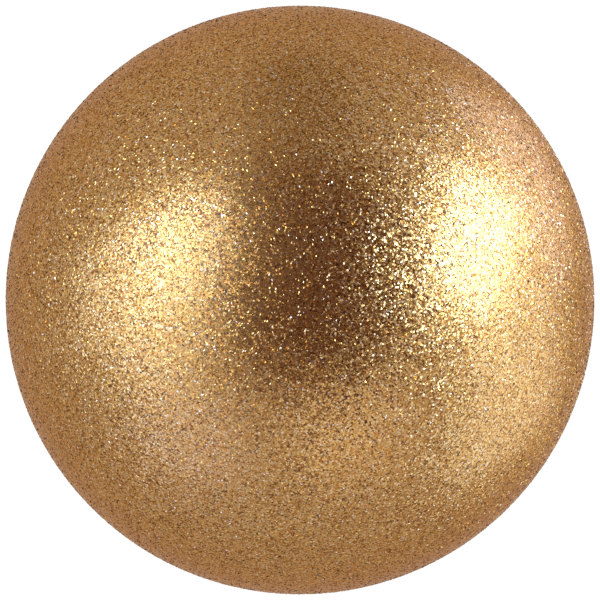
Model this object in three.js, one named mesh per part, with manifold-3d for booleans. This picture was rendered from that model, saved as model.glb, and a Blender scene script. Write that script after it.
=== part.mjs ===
// A glitter-coated hanging ball. Two moulded half shells, lapped at the equator, carry one coat
// of glitter. A stamped crown cap sits over the neck, and a sprung wire bail passes through the
// cap and bows out inside the neck, so that it holds both and gives the eye the ball hangs from.
// Millimetres, +Z up. The origin is the point under the top of the bail where a hook bears.
import * as THREE from "three";
import { mergeVertices } from "three/addons/utils/BufferGeometryUtils.js";
import Module from "manifold-3d";

// Ball
const ballDiameter = 80; // over the glitter
const coatThickness = 0.4;
const coatGap = 0.2; // lacquer line between the shells and the coat
const shellWall = 1.2;
const lapHeight = 2.4; // how far the lower shell's spigot rises into the upper shell
const lapClearance = 0.2;
const seam = 0.1; // cement between the shells' edges

// Neck, moulded with the upper shell
const neckBore = 9.6;
const neckWall = 1.2;
const neckHeight = 5; // above the top of the ball
const lipSize = 0.35; // the bead round the neck's rim stands out by this
const lipChamfer = 0.3;
const neckGap = 0.3; // between the neck and the edge of the coat's hole

// Crown cap, stamped from thin sheet
const sheet = 0.4;
const capClearance = 0.3; // to the neck's lip and to the ball's surface
const shoulderRadius = 1.1; // inside bend between the cap's top and its wall
const skirtReach = 3.3; // how far the skirt flares out from the wall
const skirtRise = 1.9; // height of the flare where it leaves the wall
const petals = 12; // lobes round the skirt's edge
const petalCut = 0.42; // share of the skirt cut away between two lobes
const fluteDepth = 0.18;
const flutes = 24; // ribs round the cap's wall

// Bail, bent from spring wire
const wireDiameter = 1;
const holeClearance = 0.3; // round each leg where it passes through the cap
const legSpacing = 6.4;
const capTravel = 7; // how far the cap slides up the legs
const travelMargin = 0.5; // straight wire left above the cap at the end of its travel
const straightUnderCap = 1; // straight wire below the cap at rest
const boreClearance = 0.3; // between each leg and the bore
const legBow = 3; // how far each leg stands out past the bore, inside the ball
const bowDrop = 6; // depth of that widest point under the neck
const tipDrop = 6; // depth of the wire's ends under the widest point
const tipSpread = 4.4; // distance of each end from the ball's axis

// Fineness of the faceted solids
const turnSteps = 48; // round the ball
const latitudeStep = 7.5; // degrees from facet to facet along a meridian
const shortestStep = 0.5; // the least such step, in degrees, beside an edge
const capSteps = 72;
const flareSteps = 5;
const shoulderSteps = 3;
const wireSteps = 76;
const wireSides = 10;
const holeSides = 16;

// Sizes that follow from the ones above
const coatRadius = ballDiameter / 2;
const coatInside = coatRadius - coatThickness;
const shellOutside = coatInside - coatGap;
const shellInside = shellOutside - shellWall;
const socketRadius = shellOutside - (shellWall - lapClearance) / 2;
const spigotRadius = socketRadius - lapClearance;
const boreRadius = neckBore / 2;
const neckRadius = boreRadius + neckWall;
const lipRadius = neckRadius + lipSize;
const rimHeight = coatRadius + neckHeight;
const capUnderside = rimHeight + capClearance;
const capTop = capUnderside + sheet;
const capWallInside = lipRadius + capClearance + fluteDepth;
const wireRadius = wireDiameter / 2;
const legX = legSpacing / 2;
const loopCentre = capTop + capTravel + travelMargin;
const hookHeight = loopCentre + legX - wireRadius;

const wasm = await Module();
wasm.setup();

const finishes = {
  glitter: { color: 0xb9854a, roughness: 0.38, metalness: 0.85 },
  polystyrene: { color: 0xc9ab78, roughness: 0.42, metalness: 0 },
  tinplate: { color: 0xc9983f, roughness: 0.28, metalness: 1 },
  springWire: { color: 0xc4a05a, roughness: 0.24, metalness: 1 },
};

function solidFrom(geometry) {
  const bare = geometry.clone();
  bare.deleteAttribute("normal");
  bare.deleteAttribute("uv");
  const merged = mergeVertices(bare, 1e-4);
  return new wasm.Manifold(
    new wasm.Mesh({
      numProp: 3,
      vertProperties: merged.attributes.position.array,
      triVerts: new Uint32Array(merged.index.array),
    }),
  );
}

function geometryFrom(solid) {
  const mesh = solid.getMesh();
  const geometry = new THREE.BufferGeometry();
  geometry.setAttribute("position", new THREE.BufferAttribute(mesh.vertProperties, 3));
  geometry.setIndex(new THREE.BufferAttribute(mesh.triVerts, 1));
  geometry.computeVertexNormals();
  return geometry;
}

// Turns a profile of (radius, height) points about Z.
function turned(profile, steps) {
  const points = profile.map(([r, z]) => new THREE.Vector2(r, z));
  return new THREE.LatheGeometry(points, steps).rotateX(Math.PI / 2);
}

// Profile points on a circle round the ball's centre between two latitudes in degrees. The
// points between the ends are at multiples of latitudeStep, so neighbouring shells have
// parallel facets.
function meridian(radius, from, to) {
  const way = Math.sign(to - from);
  const stops = [from];
  for (let k = Math.ceil(-90 / latitudeStep); k * latitudeStep <= 90; k++) {
    const latitude = k * latitudeStep * way;
    const fromEnds = Math.min((latitude - from) * way, (to - latitude) * way);
    if (fromEnds > shortestStep) {
      stops.push(latitude);
    }
  }
  stops.push(to);
  return stops.map((latitude) => {
    const angle = THREE.MathUtils.degToRad(latitude);
    const r = Math.abs(latitude) === 90 ? 0 : radius * Math.cos(angle);
    return [r, radius * Math.sin(angle)];
  });
}

const latitudeAtRadius = (r, radius) => THREE.MathUtils.radToDeg(Math.acos(r / radius));
const latitudeAtHeight = (z, radius) => THREE.MathUtils.radToDeg(Math.asin(z / radius));

function lowerHalfShell() {
  return turned(
    [
      ...meridian(shellOutside, -90, latitudeAtHeight(-seam, shellOutside)),
      [spigotRadius, -seam],
      [spigotRadius, lapHeight],
      ...meridian(shellInside, latitudeAtHeight(lapHeight, shellInside), -90),
    ],
    turnSteps,
  );
}

function upperHalfShell() {
  const lapTop = lapHeight + lapClearance;
  const lipBottom = rimHeight - 4 * lipSize;
  const insideFrom = latitudeAtRadius(boreRadius, shellInside);
  const insideTo = latitudeAtHeight(lapTop, shellInside);
  const profile = [
    ...meridian(shellOutside, 0, latitudeAtRadius(neckRadius, shellOutside)),
    [neckRadius, lipBottom],
    [lipRadius, lipBottom + lipSize],
    [lipRadius, rimHeight - lipSize],
    [neckRadius, rimHeight],
    [boreRadius + lipChamfer, rimHeight],
    [boreRadius, rimHeight - lipChamfer],
    ...meridian(shellInside, insideFrom, insideTo),
    [socketRadius, lapTop],
    [socketRadius, 0],
  ];
  return turned([...profile, profile[0]], turnSteps);
}

function glitterCoat() {
  const holeRadius = neckRadius + neckGap;
  const outside = meridian(coatRadius, -90, latitudeAtRadius(holeRadius, coatRadius));
  const inside = meridian(coatInside, latitudeAtRadius(holeRadius, coatInside), -90);
  return turned([...outside, ...inside], turnSteps);
}

// Height of the skirt's underside at a radius: the ball's surface with the cap's clearance.
const skirtHeight = (r) => Math.sqrt((coatRadius + capClearance) ** 2 - r ** 2);

// The cap's underside at one angle, from the axis to the skirt's edge. The wall is fluted and
// the skirt ends in round lobes.
function capUndersideAt(angle) {
  const wall = capWallInside + fluteDepth * Math.cos(flutes * angle);
  const points = [new THREE.Vector2(0, capUnderside)];
  for (let i = 0; i <= shoulderSteps; i++) {
    const bend = (Math.PI / 2) * (i / shoulderSteps);
    const radius = capWallInside - shoulderRadius * (1 - Math.sin(bend));
    const ribbed = radius + (wall - capWallInside) * (i / shoulderSteps);
    const drop = shoulderRadius * (1 - Math.cos(bend));
    points.push(new THREE.Vector2(ribbed, capUnderside - drop));
  }
  const edge = capWallInside + skirtReach;
  const waist = skirtHeight(capWallInside) + skirtRise;
  const flare = new THREE.QuadraticBezierCurve(
    new THREE.Vector2(wall, waist),
    new THREE.Vector2(capWallInside + 0.1 * skirtReach, skirtHeight(capWallInside)),
    new THREE.Vector2(edge, skirtHeight(edge)),
  );
  const lobe = 1 - petalCut * (1 - Math.abs(Math.cos((petals * angle) / 2)));
  for (let i = 0; i <= flareSteps; i++) {
    const point = flare.getPoint((i / flareSteps) * lobe);
    point.y = Math.max(point.y, skirtHeight(point.x));
    points.push(point);
  }
  return points;
}

// The same line moved outwards by the sheet's thickness.
function thickened(points) {
  return points.map((point, i) => {
    const before = points[Math.max(i - 1, 0)];
    const after = points[Math.min(i + 1, points.length - 1)];
    const along = after.clone().sub(before).normalize();
    const out = i === 0 ? new THREE.Vector2(0, 1) : new THREE.Vector2(-along.y, along.x);
    return out.multiplyScalar(sheet).add(point);
  });
}

function crownCap() {
  const profileAt = (angle) => {
    const under = capUndersideAt(angle);
    return [...under, ...thickened(under).reverse()];
  };
  const first = profileAt(0);
  const geometry = new THREE.LatheGeometry(first, capSteps);
  const position = geometry.getAttribute("position");
  for (let turn = 0; turn <= capSteps; turn++) {
    const angle = (2 * Math.PI * (turn % capSteps)) / capSteps;
    profileAt(angle).forEach((point, i) => {
      const x = point.x * Math.sin(angle);
      const z = point.x * Math.cos(angle);
      position.setXYZ(turn * first.length + i, x, point.y, z);
    });
  }
  let cap = solidFrom(geometry.rotateX(Math.PI / 2));
  for (const side of [-1, 1]) {
    const radius = wireRadius + holeClearance;
    const drill = new THREE.CylinderGeometry(radius, radius, 6 * sheet, holeSides)
      .rotateX(Math.PI / 2)
      .translate(side * legX, 0, capTop);
    cap = cap.subtract(solidFrom(drill));
  }
  return geometryFrom(cap);
}

// Half a turn of the loop at the top of the bail, in the XZ plane.
class TopOfLoop extends THREE.Curve {
  getPoint(t, target = new THREE.Vector3()) {
    const angle = Math.PI * (1 - t);
    return target.set(legX * Math.cos(angle), 0, loopCentre + legX * Math.sin(angle));
  }
}

// The same curve on the other leg, run the other way.
class OtherLeg extends THREE.Curve {
  constructor(curve) {
    super();
    this.curve = curve;
  }
  getPoint(t, target = new THREE.Vector3()) {
    this.curve.getPoint(1 - t, target);
    return target.setX(-target.x);
  }
}

// The left leg from its end inside the ball up to the loop: out to the bow, in to the neck's
// foot, up the bore to the cap's holes, then straight.
function leftLeg() {
  const at = (x, z) => new THREE.Vector3(-x, 0, z);
  const neckFoot = Math.sqrt(shellInside ** 2 - boreRadius ** 2);
  const boreX = boreRadius - wireRadius - boreClearance;
  const bowX = boreRadius + legBow;
  const bowZ = neckFoot - bowDrop;
  const straightFrom = capUnderside - straightUnderCap;
  const bend = (straightFrom - neckFoot) / 2;
  return [
    new THREE.QuadraticBezierCurve3(
      at(tipSpread, bowZ - tipDrop),
      at(bowX, bowZ - tipDrop / 2),
      at(bowX, bowZ),
    ),
    new THREE.CubicBezierCurve3(
      at(bowX, bowZ),
      at(bowX, bowZ + bowDrop / 2),
      at(boreX, neckFoot - bowDrop / 3),
      at(boreX, neckFoot),
    ),
    new THREE.CubicBezierCurve3(
      at(boreX, neckFoot),
      at(boreX, neckFoot + bend),
      at(legX, straightFrom - bend),
      at(legX, straightFrom),
    ),
    new THREE.LineCurve3(at(legX, straightFrom), at(legX, loopCentre)),
  ];
}

function springBail() {
  const left = leftLeg();
  const right = left.map((curve) => new OtherLeg(curve)).reverse();
  const path = new THREE.CurvePath();
  path.curves = [...left, new TopOfLoop(), ...right];
  const section = new THREE.Shape().absarc(0, 0, wireRadius, 0, 2 * Math.PI);
  return new THREE.ExtrudeGeometry(section, {
    extrudePath: path,
    steps: wireSteps,
    curveSegments: wireSides / 2,
  });
}

function piece(name, geometry, finish) {
  const mesh = new THREE.Mesh(geometry, new THREE.MeshStandardMaterial(finish));
  mesh.name = name;
  return mesh;
}

const ball = new THREE.Group();
ball.add(
  piece("lower_half_shell", lowerHalfShell(), finishes.polystyrene),
  piece("upper_half_shell", upperHalfShell(), finishes.polystyrene),
  piece("glitter_coat", glitterCoat(), finishes.glitter),
);

const hanger = new THREE.Group();
hanger.add(
  piece("crown_cap", crownCap(), finishes.tinplate),
  piece("spring_bail", springBail(), finishes.springWire),
);

// Every shape above is drawn round the ball's centre, and the whole hangs below the hook.
const hangingBall = new THREE.Group();
hangingBall.add(ball, hanger);
hangingBall.position.z = -hookHeight;

export default hangingBall;
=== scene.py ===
import math
import bmesh
import bpy
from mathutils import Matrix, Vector
from mathutils.geometry import delaunay_2d_cdt, interpolate_bezier


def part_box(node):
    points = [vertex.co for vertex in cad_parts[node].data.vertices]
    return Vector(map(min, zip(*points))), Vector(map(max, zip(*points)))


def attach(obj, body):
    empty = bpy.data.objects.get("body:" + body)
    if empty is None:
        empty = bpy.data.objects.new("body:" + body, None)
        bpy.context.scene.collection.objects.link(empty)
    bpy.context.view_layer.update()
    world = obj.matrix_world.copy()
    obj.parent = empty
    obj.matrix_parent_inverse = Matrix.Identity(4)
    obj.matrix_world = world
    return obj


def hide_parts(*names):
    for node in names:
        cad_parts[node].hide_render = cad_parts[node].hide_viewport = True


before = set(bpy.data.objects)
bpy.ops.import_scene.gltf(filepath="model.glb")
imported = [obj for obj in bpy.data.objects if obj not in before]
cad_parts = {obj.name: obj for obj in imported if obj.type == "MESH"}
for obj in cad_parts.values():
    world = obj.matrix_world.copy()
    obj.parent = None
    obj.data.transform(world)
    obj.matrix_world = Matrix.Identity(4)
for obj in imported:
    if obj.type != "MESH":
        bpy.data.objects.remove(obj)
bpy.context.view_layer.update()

mm = 0.001


def linear(hexCode):
    # sRGB hex to the linear colour that a shader's sockets take
    channels = [int(hexCode[i : i + 2], 16) / 255 for i in (1, 3, 5)]
    return [c / 12.92 if c <= 0.04045 else ((c + 0.055) / 1.055) ** 2.4 for c in channels] + [1.0]


def addNode(tree, kind, settings={}, inputs={}):
    # a socket value is either a constant or another node's output
    node = tree.nodes.new(kind)
    for name, value in settings.items():
        setattr(node, name, value)
    for name, value in inputs.items():
        if isinstance(value, bpy.types.NodeSocket):
            tree.links.new(value, node.inputs[name])
        else:
            node.inputs[name].default_value = value
    return node


def newMaterial(name):
    material = bpy.data.materials.new(name)
    material.use_nodes = True
    material.node_tree.nodes.clear()
    return material, material.node_tree


def showSurface(tree, shader):
    output = addNode(tree, "ShaderNodeOutputMaterial")
    tree.links.new(shader.outputs[0], output.inputs["Surface"])


def setRamp(node, stops, interpolation="LINEAR"):
    ramp = node.color_ramp
    ramp.interpolation = interpolation
    while len(ramp.elements) < len(stops):
        ramp.elements.new(0.5)
    for element, (place, colour) in zip(ramp.elements, stops):
        element.position = place
        element.color = linear(colour)


def meshFrom(bm, name):
    mesh = bpy.data.meshes.new(name)
    bm.to_mesh(mesh)
    bm.free()
    return mesh


def meshObject(name, mesh, material):
    piece = bpy.data.objects.new(name, mesh)
    bpy.context.scene.collection.objects.link(piece)
    mesh.materials.clear()
    mesh.materials.append(material)
    return piece


def onCircle(radius, angle):
    return (radius * math.cos(angle), radius * math.sin(angle))


def turned(profile, steps):
    # (radius, height) points turned about Z; a closed profile comes back to its first point
    bm = bmesh.new()
    rings = []
    for radius, height in profile:
        if radius == 0:
            rings.append([bm.verts.new((0, 0, height))])
            continue
        ring = []
        for i in range(steps):
            ring.append(bm.verts.new((*onCircle(radius, 2 * math.pi * i / steps), height)))
        rings.append(ring)
    for low, high in zip(rings, rings[1:]):
        for i in range(steps):
            j = (i + 1) % steps
            corners = [low[i % len(low)], low[j % len(low)]]
            corners += [high[j % len(high)], high[i % len(high)]]
            bm.faces.new(list(dict.fromkeys(corners)))
    bmesh.ops.remove_doubles(bm, verts=bm.verts, dist=0.0001 * mm)
    bmesh.ops.recalc_face_normals(bm, faces=bm.faces)
    mesh = meshFrom(bm, "turned")
    mesh.shade_smooth()
    return mesh


def plainMesh(piece):
    # bakes the modifiers into the mesh and removes them
    graph = bpy.context.evaluated_depsgraph_get()
    mesh = bpy.data.meshes.new_from_object(piece.evaluated_get(graph), depsgraph=graph)
    piece.modifiers.clear()
    piece.data = mesh


coatLow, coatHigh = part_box("glitter_coat")
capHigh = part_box("crown_cap")[1]
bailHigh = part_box("spring_bail")[1]
ballRadius = (coatHigh.x - coatLow.x) / 2
ballCentre = Vector((0, 0, coatLow.z + ballRadius))
print(f"frame: ball radius {ballRadius / mm:.2f} mm, centre z {ballCentre.z / mm:.2f} mm")

coat = {
    "neckHole": 6.3 * mm,  # radius of the hole round the neck
    "bedRadius": ballRadius - 0.13 * mm,  # surface of the glue bed, under the highest flakes
    "bedThickness": 0.25 * mm,
    "roundSteps": 192,
    "bandRows": 24,
    "flakeWidth": 0.30 * mm,  # hexagons of craft glitter, corner to corner
    "sizeSpread": 0.3,  # the smallest flake is this share narrower
    "flakesPerPiece": 46000,
    "largestTilt": math.radians(28),  # how far the most tilted flake leans off the ball
    "tiltFalloff": 1.45,  # above 1, most flakes lie flat and a few stand up
    "bands": 4,  # objects that share the flakes, from the bottom to the neck
    "seed": 7,
    "bedGrain": 0.2 * mm,  # the bedded flakes show only their smaller, uncovered parts
    "bedLean": 0.56,  # how far the bedded flakes lean
    "flakeRoughness": 0.23,
    "bedRoughness": 0.31,
    "edgeTint": "#F2C79A",  # gold film stays warm at a grazing angle
}
flakeTints = [
    (0.0, "#AC6830"),
    (0.1, "#D2913C"),
    (0.26, "#DDB062"),
    (0.52, "#EAC876"),
    (0.78, "#E9CF9E"),
    (0.93, "#F8F1E6"),
]
bedTints = [
    (0.0, "#855A30"),
    (0.13, "#BE8848"),
    (0.4, "#D0A45E"),
    (0.7, "#DCB678"),
    (0.9, "#E2C79C"),
]
lacquer = {"Coat Weight": 0.3, "Coat Roughness": 0.22, "Coat IOR": 1.5}


def bedProfile():
    outer = coat["bedRadius"]
    inner = outer - coat["bedThickness"]
    steps = coat["roundSteps"] // 2
    top = math.acos(coat["neckHole"] / outer)
    angles = [-math.pi / 2 + (top + math.pi / 2) * i / steps for i in range(steps + 1)]
    outside = [(outer * math.cos(a) if i else 0, outer * math.sin(a)) for i, a in enumerate(angles)]
    inside = [(inner * math.cos(a) if i else 0, inner * math.sin(a)) for i, a in enumerate(angles)]
    return [(r, z + ballCentre.z) for r, z in outside + inside[::-1]]


def bandMesh(low, high):
    # the strip of the bed's surface between two heights, given as shares of its radius
    radius = coat["bedRadius"]
    start, end = math.asin(low), math.asin(high)
    angles = [start + (end - start) * i / coat["bandRows"] for i in range(coat["bandRows"] + 1)]
    points = [onCircle(radius, angle) for angle in angles]
    smallest = 0.001 * mm  # keeps the ring at the bottom a ring
    profile = [(max(r, smallest), z + ballCentre.z) for r, z in points]
    return turned(profile, coat["roundSteps"])


def flakeTree(material):
    tree = bpy.data.node_groups.new("scatter hexagonal flakes", "GeometryNodeTree")
    face = tree.interface
    face.new_socket("Geometry", in_out="INPUT", socket_type="NodeSocketGeometry")
    for name, kind in (
        ("Density", "NodeSocketFloat"),
        ("Flake Width", "NodeSocketFloat"),
        ("Size Spread", "NodeSocketFloat"),
        ("Largest Tilt", "NodeSocketFloat"),
        ("Tilt Falloff", "NodeSocketFloat"),
        ("Seed", "NodeSocketInt"),
    ):
        face.new_socket(name, in_out="INPUT", socket_type=kind)
    face.new_socket("Geometry", in_out="OUTPUT", socket_type="NodeSocketGeometry")
    given = addNode(tree, "NodeGroupInput").outputs
    points = addNode(
        tree,
        "GeometryNodeDistributePointsOnFaces",
        {"distribute_method": "RANDOM"},
        {"Mesh": given["Geometry"], "Density": given["Density"], "Seed": given["Seed"]},
    )
    half = addNode(
        tree,
        "ShaderNodeMath",
        {"operation": "MULTIPLY"},
        {0: given["Flake Width"], 1: 0.5},
    )
    hexagon = addNode(
        tree,
        "GeometryNodeMeshCircle",
        {"fill_type": "NGON"},
        {"Vertices": 6, "Radius": half.outputs[0]},
    )
    # each flake tilts by its own amount, towards its own side
    share = addNode(tree, "FunctionNodeRandomValue", {"data_type": "FLOAT"}, {"Seed": 1})
    falling = addNode(
        tree,
        "ShaderNodeMath",
        {"operation": "POWER"},
        {0: share.outputs[1], 1: given["Tilt Falloff"]},
    )
    tilt = addNode(
        tree,
        "ShaderNodeMath",
        {"operation": "MULTIPLY"},
        {0: falling.outputs[0], 1: given["Largest Tilt"]},
    )
    spin = addNode(
        tree, "FunctionNodeRandomValue", {"data_type": "FLOAT"}, {"Seed": 2, 3: 2 * math.pi}
    )
    turn = addNode(tree, "ShaderNodeCombineXYZ", {}, {"X": tilt.outputs[0], "Z": spin.outputs[1]})
    asRotation = addNode(tree, "FunctionNodeEulerToRotation", {}, {"Euler": turn.outputs[0]})
    lean = addNode(
        tree,
        "FunctionNodeRotateRotation",
        {"rotation_space": "LOCAL"},
        {"Rotation": points.outputs["Rotation"], "Rotate By": asRotation.outputs[0]},
    )
    smallest = addNode(
        tree, "ShaderNodeMath", {"operation": "SUBTRACT"}, {0: 1.0, 1: given["Size Spread"]}
    )
    size = addNode(
        tree,
        "FunctionNodeRandomValue",
        {"data_type": "FLOAT"},
        {"Seed": 3, 2: smallest.outputs[0], 3: 1.0},
    )
    flakes = addNode(
        tree,
        "GeometryNodeInstanceOnPoints",
        {},
        {
            "Points": points.outputs["Points"],
            "Instance": hexagon.outputs["Mesh"],
            "Rotation": lean.outputs[0],
            "Scale": size.outputs[1],
        },
    )
    tint = addNode(tree, "FunctionNodeRandomValue", {"data_type": "FLOAT"}, {"Seed": 4})
    tinted = addNode(
        tree,
        "GeometryNodeStoreNamedAttribute",
        {"data_type": "FLOAT", "domain": "INSTANCE"},
        {"Geometry": flakes.outputs[0], "Name": "flakeTint", "Value": tint.outputs[1]},
    )
    real = addNode(tree, "GeometryNodeRealizeInstances", {}, {"Geometry": tinted.outputs[0]})
    dressed = addNode(
        tree,
        "GeometryNodeSetMaterial",
        {},
        {"Geometry": real.outputs[0], "Material": material},
    )
    addNode(tree, "NodeGroupOutput", {}, {"Geometry": dressed.outputs[0]})
    return tree


def grown(name, carrier, tree, values):
    # runs a geometry tree on a carrier mesh and keeps the result as a plain mesh
    piece = bpy.data.objects.new(name, carrier)
    bpy.context.scene.collection.objects.link(piece)
    modifier = piece.modifiers.new("grow", "NODES")
    modifier.node_group = tree
    for item in tree.interface.items_tree:
        if item.in_out == "INPUT" and item.name in values:
            modifier[item.identifier] = values[item.name]
    plainMesh(piece)
    return piece


def ballNormal(tree):
    # the direction out of the ball, which the lacquer's surface follows over every tilted flake
    place = addNode(tree, "ShaderNodeTexCoord")
    outwards = addNode(
        tree,
        "ShaderNodeVectorMath",
        {"operation": "SUBTRACT"},
        {0: place.outputs["Object"], 1: ballCentre},
    )
    turnedOut = addNode(
        tree,
        "ShaderNodeVectorTransform",
        {"vector_type": "NORMAL", "convert_from": "OBJECT", "convert_to": "WORLD"},
        {0: outwards.outputs[0]},
    )
    return turnedOut.outputs[0]


def metallisedFlakes():
    # PET film with vapour-laid aluminium under tinted lacquer, cut: each flake mirrors by itself
    material, tree = newMaterial("vacuum metallised film flakes")
    tint = addNode(tree, "ShaderNodeAttribute", {"attribute_name": "flakeTint"})
    colours = addNode(tree, "ShaderNodeValToRGB", {}, {"Fac": tint.outputs["Fac"]})
    setRamp(colours, flakeTints, "CONSTANT")
    shader = addNode(
        tree,
        "ShaderNodeBsdfPrincipled",
        {},
        {
            "Base Color": colours.outputs["Color"],
            "Metallic": 1.0,
            "Roughness": coat["flakeRoughness"],
            "Specular Tint": linear(coat["edgeTint"]),
            "Coat Normal": ballNormal(tree),
            **lacquer,
        },
    )
    showSurface(tree, shader)
    return material


def glitterBed():
    # flakes that lie deeper, drowned in glue: the same film with less shine, darker at its edges as
    # painted shade in the creases between flakes
    material, tree = newMaterial("flakes bedded in clear glue")
    place = addNode(tree, "ShaderNodeTexCoord")
    cells = addNode(
        tree,
        "ShaderNodeTexVoronoi",
        {"feature": "F1", "voronoi_dimensions": "3D"},
        {"Vector": place.outputs["Object"], "Scale": 1 / coat["bedGrain"]},
    )
    centred = addNode(
        tree,
        "ShaderNodeVectorMath",
        {"operation": "SUBTRACT"},
        {0: cells.outputs["Color"], 1: (0.5, 0.5, 0.5)},
    )
    split = addNode(tree, "ShaderNodeSeparateColor", {}, {"Color": cells.outputs["Color"]})
    lean = addNode(
        tree,
        "ShaderNodeMath",
        {"operation": "MULTIPLY"},
        {0: split.outputs["Blue"], 1: coat["bedLean"]},
    )
    scaled = addNode(
        tree,
        "ShaderNodeVectorMath",
        {"operation": "SCALE"},
        {0: centred.outputs[0], "Scale": lean.outputs[0]},
    )
    geometry = addNode(tree, "ShaderNodeNewGeometry")
    leaning = addNode(
        tree,
        "ShaderNodeVectorMath",
        {"operation": "ADD"},
        {0: geometry.outputs["Normal"], 1: scaled.outputs[0]},
    )
    normal = addNode(
        tree,
        "ShaderNodeVectorMath",
        {"operation": "NORMALIZE"},
        {0: leaning.outputs[0]},
    )
    colours = addNode(tree, "ShaderNodeValToRGB", {}, {"Fac": split.outputs["Red"]})
    setRamp(colours, bedTints, "CONSTANT")
    # painted shade: each flake's colour darkens towards its rim, for the creases between flakes
    edges = addNode(
        tree,
        "ShaderNodeMapRange",
        {},
        {
            "Value": cells.outputs["Distance"],
            "From Min": 0.45,
            "From Max": 0.75,
            "To Min": 1.0,
            "To Max": 0.65,
        },
    )
    shaded = addNode(
        tree,
        "ShaderNodeVectorMath",
        {"operation": "SCALE"},
        {0: colours.outputs["Color"], "Scale": edges.outputs[0]},
    )
    shader = addNode(
        tree,
        "ShaderNodeBsdfPrincipled",
        {},
        {
            "Base Color": shaded.outputs[0],
            "Metallic": 1.0,
            "Roughness": coat["bedRoughness"],
            "Specular Tint": linear(coat["edgeTint"]),
            "Normal": normal.outputs[0],
            **lacquer,
        },
    )
    showSurface(tree, shader)
    return material


filmMaterial = metallisedFlakes()
bed = meshObject("glitter_bed", turned(bedProfile(), coat["roundSteps"]), glitterBed())
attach(bed, "ball")
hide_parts("glitter_coat")
print("glitter bed:", len(bed.data.polygons), "faces")

scatter = flakeTree(filmMaterial)
topShare = math.cos(math.asin(coat["neckHole"] / coat["bedRadius"]))
bandEdges = [-1 + (1 + topShare) * i / coat["bands"] for i in range(coat["bands"] + 1)]
for i, (low, high) in enumerate(zip(bandEdges, bandEdges[1:])):
    area = 2 * math.pi * coat["bedRadius"] ** 2 * (high - low)
    flakes = grown(
        f"glitter_flakes_{i + 1}",
        bandMesh(low, high),
        scatter,
        {
            "Density": coat["flakesPerPiece"] / area,
            "Flake Width": coat["flakeWidth"],
            "Size Spread": coat["sizeSpread"],
            "Largest Tilt": coat["largestTilt"],
            "Tilt Falloff": coat["tiltFalloff"],
            "Seed": coat["seed"] + i,
        },
    )
    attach(flakes, "ball")
    print("glitter flakes:", flakes.name, len(flakes.data.polygons))

cap = {
    "wallInside": 6.83 * mm,  # underside of the wall, midway between rib and groove
    "sheet": 0.3 * mm,
    "frameSheet": 0.4 * mm,  # the frame's thicker sheet, whose underside this cap keeps
    "ballClearance": 0.3 * mm,
    "shoulder": 1.1 * mm,
    "discRadius": 5.0 * mm,  # the raised disc stamped in the top
    "discRise": 0.1 * mm,
    "discEase": 0.5 * mm,  # width of the slope round it
    "skirtReach": 3.3 * mm,
    "skirtKnee": 0.1,  # the skirt turns outwards here, as a share of its reach
    "skirtRise": 1.9 * mm,
    "petals": 12,
    "petalCut": 0.42,  # depth of the gaps between petals, as a share of the skirt
    "flutes": 24,
    "fluteDepth": 0.18 * mm,
    "legSpacing": 6.4 * mm,
    "holeRadius": 0.8 * mm,
    "edgeRound": 0.05 * mm,
    "easeSteps": 4,
    "shoulderSteps": 8,
    "wallSteps": 5,
    "skirtSteps": 14,
    "roundSteps": 288,
    "holeSteps": 64,
    "discPitch": 0.35 * mm,  # spacing of the points that fill the disc
    "discMargin": 0.2 * mm,
}
capUnderside = capHigh.z - cap["frameSheet"]


def skirtHeight(radius):
    return ballCentre.z + math.sqrt((ballRadius + cap["ballClearance"]) ** 2 - radius * radius)


def capUndersideAt(angle):
    # (radius, height) from the rim of the raised disc out to the tip of the skirt
    wallInside, shoulder, reach = cap["wallInside"], cap["shoulder"], cap["skirtReach"]
    rib = cap["fluteDepth"] * math.cos(cap["flutes"] * angle)
    points = []
    for i in range(cap["easeSteps"] + 1):
        t = i / cap["easeSteps"]
        rise = cap["discRise"] * (0.5 + 0.5 * math.cos(math.pi * t))
        points.append((cap["discRadius"] + t * cap["discEase"], capUnderside + rise))
    for i in range(cap["shoulderSteps"] + 1):
        bend = math.pi / 2 * i / cap["shoulderSteps"]
        radius = wallInside - shoulder * (1 - math.sin(bend)) + rib * i / cap["shoulderSteps"]
        points.append((radius, capUnderside - shoulder * (1 - math.cos(bend))))
    low = Vector((wallInside + rib, skirtHeight(wallInside) + cap["skirtRise"]))
    shoulderFoot = capUnderside - shoulder
    for i in range(1, cap["wallSteps"]):
        height = shoulderFoot + (low.y - shoulderFoot) * i / cap["wallSteps"]
        points.append((wallInside + rib, height))
    knee = Vector((wallInside + cap["skirtKnee"] * reach, skirtHeight(wallInside)))
    tip = Vector((wallInside + reach, skirtHeight(wallInside + reach)))
    lobe = 1 - cap["petalCut"] * (1 - abs(math.cos(cap["petals"] * angle / 2)))
    for i in range(cap["skirtSteps"] + 1):
        t = i / cap["skirtSteps"] * lobe
        point = low * (1 - t) ** 2 + knee * 2 * t * (1 - t) + tip * t * t
        points.append((point.x, max(point.y, skirtHeight(point.x))))
    return points


def discPoints(holes):
    # staggered rows of points that fill the disc, clear of its rim and holes
    pitch, margin = cap["discPitch"], cap["discMargin"]
    rowShare = 0.866  # of the pitch, which makes the triangles equilateral
    count = int(cap["discRadius"] / pitch)
    points = []
    for column in range(-count, count + 1):
        for row in range(-count, count + 1):
            point = Vector((column * pitch + row % 2 * pitch / 2, row * pitch * rowShare))
            clear = all((point - hole).length > cap["holeRadius"] + margin for hole in holes)
            if point.length < cap["discRadius"] - margin and clear:
                points.append(point)
    return points


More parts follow.
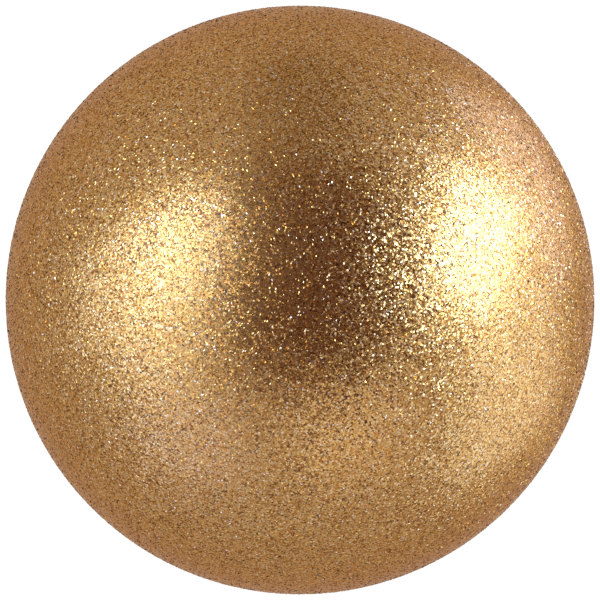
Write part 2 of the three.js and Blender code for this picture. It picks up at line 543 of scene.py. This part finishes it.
def capSheet():
    bm = bmesh.new()
    steps, holeSteps = cap["roundSteps"], cap["holeSteps"]
    columns = []
    for i in range(steps):
        angle = 2 * math.pi * i / steps
        columns.append([bm.verts.new((*onCircle(r, angle), z)) for r, z in capUndersideAt(angle)])
    for left, right in zip(columns, columns[1:] + columns[:1]):
        for k in range(len(left) - 1):
            bm.faces.new((left[k], left[k + 1], right[k + 1], right[k]))
    # the disc, triangulated round the two holes for the wire's legs
    holes = [Vector((side * cap["legSpacing"] / 2, 0)) for side in (-1, 1)]
    flat = [column[0].co.xy for column in columns]
    loops = [list(range(steps))]
    for hole in holes:
        loops.append(list(range(len(flat), len(flat) + holeSteps)))
        for k in range(holeSteps):
            spoke = Vector(onCircle(1, 2 * math.pi * k / holeSteps))
            flat.append(hole + spoke * cap["holeRadius"])
    flat += discPoints(holes)
    rims = [(loop[k], loop[(k + 1) % len(loop)]) for loop in loops for k in range(len(loop))]
    # in millimetres, because the triangulation merges points that are closer than its tolerance
    inMillimetres = [point / mm for point in flat]
    found = delaunay_2d_cdt(inMillimetres, rims, [], 0, 1e-5)
    level = capUnderside + cap["discRise"]
    verts = [bm.verts.new((point.x * mm, point.y * mm, level)) for point in found[0]]
    for face in found[2]:
        middle = sum((verts[k].co.xy for k in face), Vector((0, 0))) / len(face)
        # a triangle inside a hole has its middle within the hole's rim, which is a polygon
        if all((middle - hole).length > cap["holeRadius"] * 0.99 for hole in holes):
            bm.faces.new([verts[k] for k in face])
    bmesh.ops.remove_doubles(bm, verts=bm.verts, dist=0.001 * mm)
    bmesh.ops.recalc_face_normals(bm, faces=bm.faces)
    bm.faces.ensure_lookup_table()
    if max(bm.faces, key=lambda face: face.calc_center_median().z).normal.z < 0:
        bmesh.ops.reverse_faces(bm, faces=bm.faces)
    return meshFrom(bm, "cap sheet")


def lacqueredTinplate():
    # bright rolled sheet under thin gold lacquer: sharp reflections, faint rolling lines, and bare
    # tin where the wire rubs round its two holes
    material, tree = newMaterial("gold lacquered tinplate")
    place = addNode(tree, "ShaderNodeTexCoord").outputs["Object"]
    pooled = addNode(
        tree, "ShaderNodeTexNoise", {}, {"Vector": place, "Scale": 1 / (3 * mm), "Detail": 3.0}
    )
    gold = addNode(tree, "ShaderNodeValToRGB", {}, {"Fac": pooled.outputs["Fac"]})
    setRamp(gold, [(0.3, "#BF8C3A"), (0.55, "#D2A24E"), (0.75, "#DFB567")])
    stretched = addNode(
        tree,
        "ShaderNodeMapping",
        {"vector_type": "TEXTURE"},
        {"Vector": place, "Scale": (14, 1, 1)},
    )
    rolled = addNode(
        tree,
        "ShaderNodeTexNoise",
        {},
        {"Vector": stretched.outputs[0], "Scale": 1 / (0.09 * mm), "Detail": 2.0},
    )
    # distance from the nearer leg, the same on both sides
    mirrored = addNode(tree, "ShaderNodeVectorMath", {"operation": "ABSOLUTE"}, {0: place})
    fromLeg = addNode(
        tree,
        "ShaderNodeVectorMath",
        {"operation": "SUBTRACT"},
        {0: mirrored.outputs[0], 1: (cap["legSpacing"] / 2, 0, 0)},
    )
    level = addNode(
        tree,
        "ShaderNodeVectorMath",
        {"operation": "MULTIPLY"},
        {0: fromLeg.outputs[0], 1: (1, 1, 0)},
    )
    reach = addNode(tree, "ShaderNodeVectorMath", {"operation": "LENGTH"}, {0: level.outputs[0]})
    scuffs = addNode(
        tree, "ShaderNodeTexNoise", {}, {"Vector": place, "Scale": 1 / (0.35 * mm), "Detail": 4.0}
    )
    ragged = addNode(
        tree,
        "ShaderNodeMath",
        {"operation": "MULTIPLY_ADD"},
        {0: scuffs.outputs["Fac"], 1: 0.9 * mm, 2: reach.outputs["Value"]},
    )
    worn = addNode(
        tree,
        "ShaderNodeMapRange",
        {},
        {
            "Value": ragged.outputs[0],
            "From Min": 1.25 * mm,
            "From Max": 1.45 * mm,
            "To Min": 1.0,
            "To Max": 0.0,
        },
    )
    base = addNode(
        tree,
        "ShaderNodeMix",
        {"data_type": "RGBA"},
        {0: worn.outputs[0], 6: gold.outputs["Color"], 7: linear("#C9C2B4")},
    )
    shine = addNode(
        tree,
        "ShaderNodeMapRange",
        {},
        {
            "Value": scuffs.outputs["Fac"],
            "From Min": 0.3,
            "From Max": 0.75,
            "To Min": 0.16,
            "To Max": 0.3,
        },
    )
    relief = addNode(
        tree,
        "ShaderNodeBump",
        {},
        {"Height": rolled.outputs["Fac"], "Strength": 0.35, "Distance": 0.006 * mm},
    )
    shader = addNode(
        tree,
        "ShaderNodeBsdfPrincipled",
        {},
        {
            "Base Color": base.outputs[2],
            "Metallic": 1.0,
            "Roughness": shine.outputs[0],
            "Normal": relief.outputs[0],
            "Coat Weight": 0.4,
            "Coat Roughness": 0.07,
        },
    )
    showSurface(tree, shader)
    return material


crown = meshObject("cap_crown", capSheet(), lacqueredTinplate())
solid = crown.modifiers.new("thickness", "SOLIDIFY")
solid.thickness = cap["sheet"]
solid.offset = 1  # the wall grows outwards from the underside
solid.use_even_offset = True
rounded = crown.modifiers.new("edges", "BEVEL")
rounded.width = cap["edgeRound"]
rounded.segments = 2
rounded.limit_method = "ANGLE"
rounded.angle_limit = math.radians(50)
plainMesh(crown)
crown.data.shade_smooth()
crown.data.set_sharp_from_angle(angle=math.radians(40))
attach(crown, "cap")
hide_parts("crown_cap")
print("cap:", len(crown.data.polygons), "faces")

wire = {
    "radius": 0.5 * mm,
    "legSpacing": 6.4 * mm,
    "boreGap": 0.3 * mm,  # between the wire and the bore
    "bore": 4.8 * mm,  # radius of the neck's bore
    "neckFoot": 37.9 * mm,  # heights are above the ball's centre
    "straightFrom": 44.3 * mm,
    "bowReach": 7.8 * mm,  # the bows spring out under the neck, inside the ball
    "bowHeight": 31.9 * mm,
    "bowDrop": 6 * mm,
    "tipDrop": 6 * mm,
    "tipSpread": 4.4 * mm,
    "curveSteps": 28,
    "legSteps": 12,
    "loopSteps": 48,
    "roundSteps": 24,
    "domeSteps": 5,
    "domeHeight": 0.5,  # as a share of the wire's radius
}


def wirePath():
    # points down the middle of the wire, from one end up a leg, round the loop and back
    legX, legZ = wire["legSpacing"] / 2, wire["straightFrom"]
    boreX = wire["bore"] - wire["radius"] - wire["boreGap"]
    bowX, bowZ, foot = wire["bowReach"], wire["bowHeight"], wire["neckFoot"]
    tipX, tipZ = wire["tipSpread"], bowZ - wire["tipDrop"]
    bend = (legZ - foot) / 2
    third = 2 / 3
    midZ = bowZ - wire["tipDrop"] / 2
    # (x, height) of each curve's start, its two handles and its end
    curves = [
        (
            (tipX, tipZ),
            (tipX + (bowX - tipX) * third, tipZ + (midZ - tipZ) * third),
            (bowX, bowZ + (midZ - bowZ) * third),
            (bowX, bowZ),
        ),
        (
            (bowX, bowZ),
            (bowX, bowZ + wire["bowDrop"] / 2),
            (boreX, foot - wire["bowDrop"] / 3),
            (boreX, foot),
        ),
        ((boreX, foot), (boreX, foot + bend), (legX, legZ - bend), (legX, legZ)),
    ]
    leg = []
    for curve in curves:
        knots = [Vector((x, 0, z)) for x, z in curve]
        leg += interpolate_bezier(*knots, wire["curveSteps"])[:-1]
    loopZ = bailHigh.z - wire["radius"] - legX - ballCentre.z
    for i in range(wire["legSteps"]):
        leg.append(Vector((legX, 0, legZ + (loopZ - legZ) * i / wire["legSteps"])))
    loop = []
    for i in range(wire["loopSteps"] + 1):
        x, z = onCircle(legX, math.pi * i / wire["loopSteps"])
        loop.append(Vector((x, 0, loopZ + z)))
    other = [Vector((-p.x, 0, p.z)) for p in reversed(leg)]
    return [Vector((p.x, 0, p.z + ballCentre.z)) for p in leg + loop + other]


def domed(end, outwards, ahead, travelled):
    # rings that close one end of the wire, the widest first
    radius = wire["radius"]
    rings = []
    for i in range(1, wire["domeSteps"] + 1):
        lean = math.pi / 2 * i / (wire["domeSteps"] + 0.2)  # stops short of a point
        place = end + outwards * radius * wire["domeHeight"] * math.sin(lean)
        rings.append((place, ahead, radius * math.cos(lean), travelled))
    return rings


def wireMesh():
    path = wirePath()
    across = Vector((0, 1, 0))
    travelled = 0
    sections = []
    for k, point in enumerate(path):
        ahead = (path[min(k + 1, len(path) - 1)] - path[max(k - 1, 0)]).normalized()
        if k:
            travelled += (point - path[k - 1]).length
        sections.append((point, ahead, wire["radius"], travelled))
    start, startAhead = sections[0][:2]
    end, endAhead = sections[-1][:2]
    front = domed(start, -startAhead, startAhead, 0)
    sections = front[::-1] + sections + domed(end, endAhead, endAhead, travelled)
    bm = bmesh.new()
    drawn = bm.verts.layers.float_vector.new("drawn")  # follows the wire, so that its lines do too
    rings = []
    for point, ahead, radius, at in sections:
        side = ahead.cross(across)
        ring = []
        for i in range(wire["roundSteps"]):
            angle = 2 * math.pi * i / wire["roundSteps"]
            spoke = side * math.cos(angle) + across * math.sin(angle)
            vert = bm.verts.new(point + spoke * radius)
            vert[drawn] = (*onCircle(radius, angle), at)
            ring.append(vert)
        rings.append(ring)
    for low, high in zip(rings, rings[1:]):
        for i in range(len(low)):
            j = (i + 1) % len(low)
            bm.faces.new((low[i], low[j], high[j], high[i]))
    bm.faces.new(rings[0][::-1])
    bm.faces.new(rings[-1])
    bmesh.ops.recalc_face_normals(bm, faces=bm.faces)
    mesh = meshFrom(bm, "wire")
    mesh.shade_smooth()
    return mesh


def brassedWire():
    # steel spring wire drawn through a die after plating: fine lines along it, and grey steel
    # where a hook has rubbed the inside of the loop
    material, tree = newMaterial("brass plated spring wire")
    drawn = addNode(tree, "ShaderNodeAttribute", {"attribute_name": "drawn"})
    stretched = addNode(
        tree,
        "ShaderNodeMapping",
        {"vector_type": "TEXTURE"},
        {"Vector": drawn.outputs["Vector"], "Scale": (1, 1, 25)},
    )
    lines = addNode(
        tree,
        "ShaderNodeTexNoise",
        {},
        {"Vector": stretched.outputs[0], "Scale": 1 / (0.07 * mm), "Detail": 3.0},
    )
    place = addNode(tree, "ShaderNodeTexCoord").outputs["Object"]
    stains = addNode(
        tree, "ShaderNodeTexNoise", {}, {"Vector": place, "Scale": 1 / (1.6 * mm), "Detail": 4.0}
    )
    brass = addNode(tree, "ShaderNodeValToRGB", {}, {"Fac": stains.outputs["Fac"]})
    setRamp(brass, [(0.3, "#B98F4C"), (0.5, "#CDA560"), (0.7, "#DDBB7C")])
    # the origin is the hook's seat, so the wear spreads from there
    reach = addNode(tree, "ShaderNodeVectorMath", {"operation": "LENGTH"}, {0: place})
    ragged = addNode(
        tree,
        "ShaderNodeMath",
        {"operation": "MULTIPLY_ADD"},
        {0: lines.outputs["Fac"], 1: 0.8 * mm, 2: reach.outputs["Value"]},
    )
    rubbed = addNode(
        tree,
        "ShaderNodeMapRange",
        {},
        {
            "Value": ragged.outputs[0],
            "From Min": 1.1 * mm,
            "From Max": 1.6 * mm,
            "To Min": 1.0,
            "To Max": 0.0,
        },
    )
    base = addNode(
        tree,
        "ShaderNodeMix",
        {"data_type": "RGBA"},
        {0: rubbed.outputs[0], 6: brass.outputs["Color"], 7: linear("#A8A39B")},
    )
    shine = addNode(
        tree,
        "ShaderNodeMapRange",
        {},
        {
            "Value": lines.outputs["Fac"],
            "From Min": 0.3,
            "From Max": 0.7,
            "To Min": 0.16,
            "To Max": 0.32,
        },
    )
    relief = addNode(
        tree,
        "ShaderNodeBump",
        {},
        {"Height": lines.outputs["Fac"], "Strength": 0.4, "Distance": 0.008 * mm},
    )
    shader = addNode(
        tree,
        "ShaderNodeBsdfPrincipled",
        {},
        {
            "Base Color": base.outputs[2],
            "Metallic": 1.0,
            "Roughness": shine.outputs[0],
            "Normal": relief.outputs[0],
        },
    )
    showSurface(tree, shader)
    return material


bail = meshObject("cap_bail", wireMesh(), brassedWire())
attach(bail, "hanger")
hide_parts("spring_bail")
print("bail:", len(bail.data.polygons), "faces")

shell = {
    "outside": 39.4 * mm,
    "inside": 38.2 * mm,
    "socket": 38.9 * mm,  # radius of the lap's step
    "lapTop": 2.6 * mm,
    "neckRadius": 6.0 * mm,
    "bore": 4.8 * mm,
    "lip": 0.35 * mm,
    "rim": 45 * mm,  # above the ball's centre
    "foot": 0.5 * mm,  # fillet where the neck leaves the ball
    "outerEdge": 0.25 * mm,  # rounding of the rim's edges
    "innerEdge": 0.3 * mm,
    "ballSteps": 72,
    "lipSteps": 12,
    "footSteps": 5,
    "edgeSteps": 6,
    "roundSteps": 192,
}


def shellProfile():
    outside, inside, neck = shell["outside"], shell["inside"], shell["neckRadius"]
    rim, lip, foot = shell["rim"], shell["lip"], shell["foot"]
    outerEdge, innerEdge = shell["outerEdge"], shell["innerEdge"]
    ballSteps, edgeSteps = shell["ballSteps"], shell["edgeSteps"]
    top = math.acos((neck + foot) / outside)
    points = [onCircle(outside, top * i / ballSteps) for i in range(ballSteps + 1)]
    start = points[-1][1]
    for i in range(1, shell["footSteps"] + 1):
        bend = math.pi / 2 * i / shell["footSteps"]
        points.append((neck + foot * (1 - math.sin(bend)), start + foot * (1 - math.cos(bend))))
    for i in range(shell["lipSteps"] + 1):
        x, z = onCircle(lip, -math.pi / 2 + math.pi * i / shell["lipSteps"])
        points.append((neck + x, rim - 2 * lip + z))
    for i in range(1, edgeSteps):
        x, z = onCircle(outerEdge, math.pi / 2 * i / edgeSteps)
        points.append((neck - outerEdge + x, rim - outerEdge + z))
    points.append((neck - innerEdge, rim))
    for i in range(1, edgeSteps + 1):
        x, z = onCircle(innerEdge, math.pi / 2 * i / edgeSteps)
        points.append((shell["bore"] + innerEdge - z, rim - innerEdge + x))
    low = math.asin(shell["lapTop"] / inside)
    high = math.acos(shell["bore"] / inside)
    points += [onCircle(inside, high + (low - high) * i / ballSteps) for i in range(ballSteps + 1)]
    points += [(shell["socket"], shell["lapTop"]), (shell["socket"], 0), points[0]]
    return [(r, z + ballCentre.z) for r, z in points]


def pearlPolystyrene():
    # injection moulded with pearl pigment: a soft sheen with faint flow swirls
    material, tree = newMaterial("pearl gold polystyrene")
    place = addNode(tree, "ShaderNodeTexCoord").outputs["Object"]
    swirls = addNode(
        tree,
        "ShaderNodeTexNoise",
        {},
        {"Vector": place, "Scale": 1 / (5 * mm), "Detail": 4.0, "Distortion": 1.8},
    )
    colours = addNode(tree, "ShaderNodeValToRGB", {}, {"Fac": swirls.outputs["Fac"]})
    setRamp(colours, [(0.3, "#B8935A"), (0.5, "#C9AB78"), (0.7, "#D9BF91")])
    grain = addNode(
        tree, "ShaderNodeTexNoise", {}, {"Vector": place, "Scale": 1 / (0.25 * mm), "Detail": 2.0}
    )
    shine = addNode(
        tree,
        "ShaderNodeMapRange",
        {},
        {
            "Value": grain.outputs["Fac"],
            "From Min": 0.3,
            "From Max": 0.7,
            "To Min": 0.26,
            "To Max": 0.38,
        },
    )
    relief = addNode(
        tree,
        "ShaderNodeBump",
        {},
        {"Height": grain.outputs["Fac"], "Strength": 0.25, "Distance": 0.01 * mm},
    )
    shader = addNode(
        tree,
        "ShaderNodeBsdfPrincipled",
        {},
        {
            "Base Color": colours.outputs["Color"],
            "Metallic": 0.25,
            "Roughness": shine.outputs[0],
            "Normal": relief.outputs[0],
            "IOR": 1.59,
        },
    )
    showSurface(tree, shader)
    return material


shellMaterial = pearlPolystyrene()
upper = meshObject("shell_with_neck", turned(shellProfile(), shell["roundSteps"]), shellMaterial)
upper.data.set_sharp_from_angle(angle=math.radians(50))
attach(upper, "ball")
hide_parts("upper_half_shell")
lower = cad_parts["lower_half_shell"]
lower.data.materials.clear()
lower.data.materials.append(shellMaterial)
print("shells:", len(upper.data.polygons), "faces above,", len(lower.data.polygons), "below")

camera = {
    "elevation": -45,  # degrees; it looks up at the ball, whose cap is behind
    "lens": 120,
    "sensor": 36,
    "ballInFrame": 0.984,  # radius of the ball as a share of half the frame
}
tilt = math.radians(camera["elevation"])
right = Vector((1, 0, 0))
back = Vector((0, -math.cos(tilt), math.sin(tilt)))
up = back.cross(right)


def faceBall(thing, direction, distance, front):
    thing.location = ballCentre + direction * distance
    thing.rotation_mode = "QUATERNION"
    thing.rotation_quaternion = (-direction).to_track_quat(front, "Y")


def fromBall(x, y, z):
    # a direction from the ball: right and up as the camera sees it, and towards the camera
    return (right * x + up * y + back * z).normalized()


view = bpy.data.cameras.new("camera")
view.lens = camera["lens"]
view.sensor_width = camera["sensor"]
view.clip_start, view.clip_end = 0.01, 30
halfView = math.atan(camera["sensor"] / 2 / camera["lens"])
ballAngle = math.atan(math.tan(halfView) * camera["ballInFrame"])
eye = bpy.data.objects.new("camera", view)
bpy.context.scene.collection.objects.link(eye)
faceBall(eye, back, ballRadius / math.sin(ballAngle), "-Z")
bpy.context.scene.camera = eye
print("camera:", round((eye.location - ballCentre).length, 3), "m from the ball")

daylight = "#D2E6FF"
skylight = "#B6C6FF"
white = "#FFFFFF"
# direction, distance, width and height in metres, watts, tint
lights = {
    "left softbox": (fromBall(-0.65, 0.32, 0.67), 0.9, 0.52, 0.5, 3.6, daylight),
    "right softbox": (fromBall(0.92, 0.3, 0.28), 0.9, 0.46, 0.7, 8.0, daylight),
    "left fill": (fromBall(-0.88, -0.08, 0.5), 0.9, 0.6, 0.9, 2.6, daylight),
    "low left fill": (fromBall(-0.56, -0.73, 0.38), 1.2, 0.7, 0.7, 1.5, skylight),
    "low front fill": (fromBall(0.32, -0.7, 0.62), 1.2, 0.9, 0.6, 1.0, white),
    "low right fill": (fromBall(0.92, -0.36, -0.15), 1.2, 1.0, 1.0, 4.5, daylight),
    "upper right fill": (fromBall(0.78, 0.42, -0.42), 1.2, 0.8, 0.9, 4.5, skylight),
}
for name, (direction, distance, width, height, watts, tint) in lights.items():
    lamp = bpy.data.lights.new(name, "AREA")
    lamp.shape = "RECTANGLE"
    lamp.size, lamp.size_y = width, height
    lamp.energy = watts
    lamp.color = linear(tint)[:3]
    box = bpy.data.objects.new(name, lamp)
    bpy.context.scene.collection.objects.link(box)
    faceBall(box, direction, distance, "-Z")
    box.visible_camera = False

# dark sheets by the camera, seen only in reflections: painted shade for the darker middle and top
# of the ball
# direction, distance, width, height, colour
shadeCloths = [
    (fromBall(0.1, 0.2, 1), 0.45, 0.6, 0.78, "#5C3020"),
    (fromBall(0.03, 0.95, 0.3), 0.5, 0.24, 0.6, "#907C6C"),
]
for direction, distance, width, height, colour in shadeCloths:
    bm = bmesh.new()
    bmesh.ops.create_grid(bm, x_segments=1, y_segments=1, size=0.5)
    bmesh.ops.scale(bm, vec=(width, height, 1), verts=bm.verts)
    mesh = meshFrom(bm, "shadeFlag")
    # its colour is painted shade, which only the reflections see
    material, tree = newMaterial("painted reflected shade")
    look = {"Base Color": linear(colour), "Roughness": 1.0}
    showSurface(tree, addNode(tree, "ShaderNodeBsdfPrincipled", {}, look))
    shadeFlag = meshObject("shadeFlag", mesh, material)
    faceBall(shadeFlag, direction, distance, "Z")
    shadeFlag.visible_camera = False
    shadeFlag.visible_shadow = False
    shadeFlag.visible_diffuse = False
print("lights:", len(lights), "lamps,", len(shadeCloths), "shadeCloths")

studio = {
    "floorDrop": 1.4,  # below the ball's centre, because the ball hangs
    "floorRadius": 30,
    "floorColour": "#F2EFEE",
    "horizonColour": "#EFECEB",  # meets the floor's tone, so that no edge shows
    "backdropColour": "#FFFFFF",
    "backdropStrength": 1.05,
    "whiteFrom": 0.3,  # height at which the backdrop is fully white, as a share of straight up
    "roomColour": "#FFF0EC",  # what the reflections see
    "roomStrength": 0.66,
}
material, tree = newMaterial("pale floor paint")
look = {"Base Color": linear(studio["floorColour"]), "Roughness": 0.8}
showSurface(tree, addNode(tree, "ShaderNodeBsdfPrincipled", {}, look))
bm = bmesh.new()
bmesh.ops.create_circle(bm, cap_ends=True, segments=64, radius=studio["floorRadius"])
floor = meshObject("floor", meshFrom(bm, "floor"), material)
floor.location.z = ballCentre.z - studio["floorDrop"]
floor.visible_glossy = False

world = bpy.data.worlds.new("studio")
bpy.context.scene.world = world
world.use_nodes = True
tree = world.node_tree
tree.nodes.clear()
path = addNode(tree, "ShaderNodeLightPath")
ray = addNode(tree, "ShaderNodeTexCoord")
split = addNode(tree, "ShaderNodeSeparateXYZ", {}, {"Vector": ray.outputs["Generated"]})
climb = addNode(
    tree,
    "ShaderNodeMapRange",
    {"interpolation_type": "SMOOTHSTEP"},
    {"Value": split.outputs["Z"], "From Min": 0.0, "From Max": studio["whiteFrom"]},
)
backdrop = addNode(
    tree,
    "ShaderNodeMix",
    {"data_type": "RGBA"},
    {0: climb.outputs[0], 6: linear(studio["horizonColour"]), 7: linear(studio["backdropColour"])},
)
seen = addNode(
    tree,
    "ShaderNodeBackground",
    {},
    {"Color": backdrop.outputs[2], "Strength": studio["backdropStrength"]},
)
room = addNode(
    tree,
    "ShaderNodeBackground",
    {},
    {"Color": linear(studio["roomColour"]), "Strength": studio["roomStrength"]},
)
mix = addNode(
    tree,
    "ShaderNodeMixShader",
    {},
    {0: path.outputs["Is Glossy Ray"], 1: seen.outputs[0], 2: room.outputs[0]},
)
output = addNode(tree, "ShaderNodeOutputWorld")
tree.links.new(mix.outputs[0], output.inputs["Surface"])
bpy.context.scene.view_settings.view_transform = "Standard"
print("studio: floor", studio["floorDrop"], "m below the ball's centre")
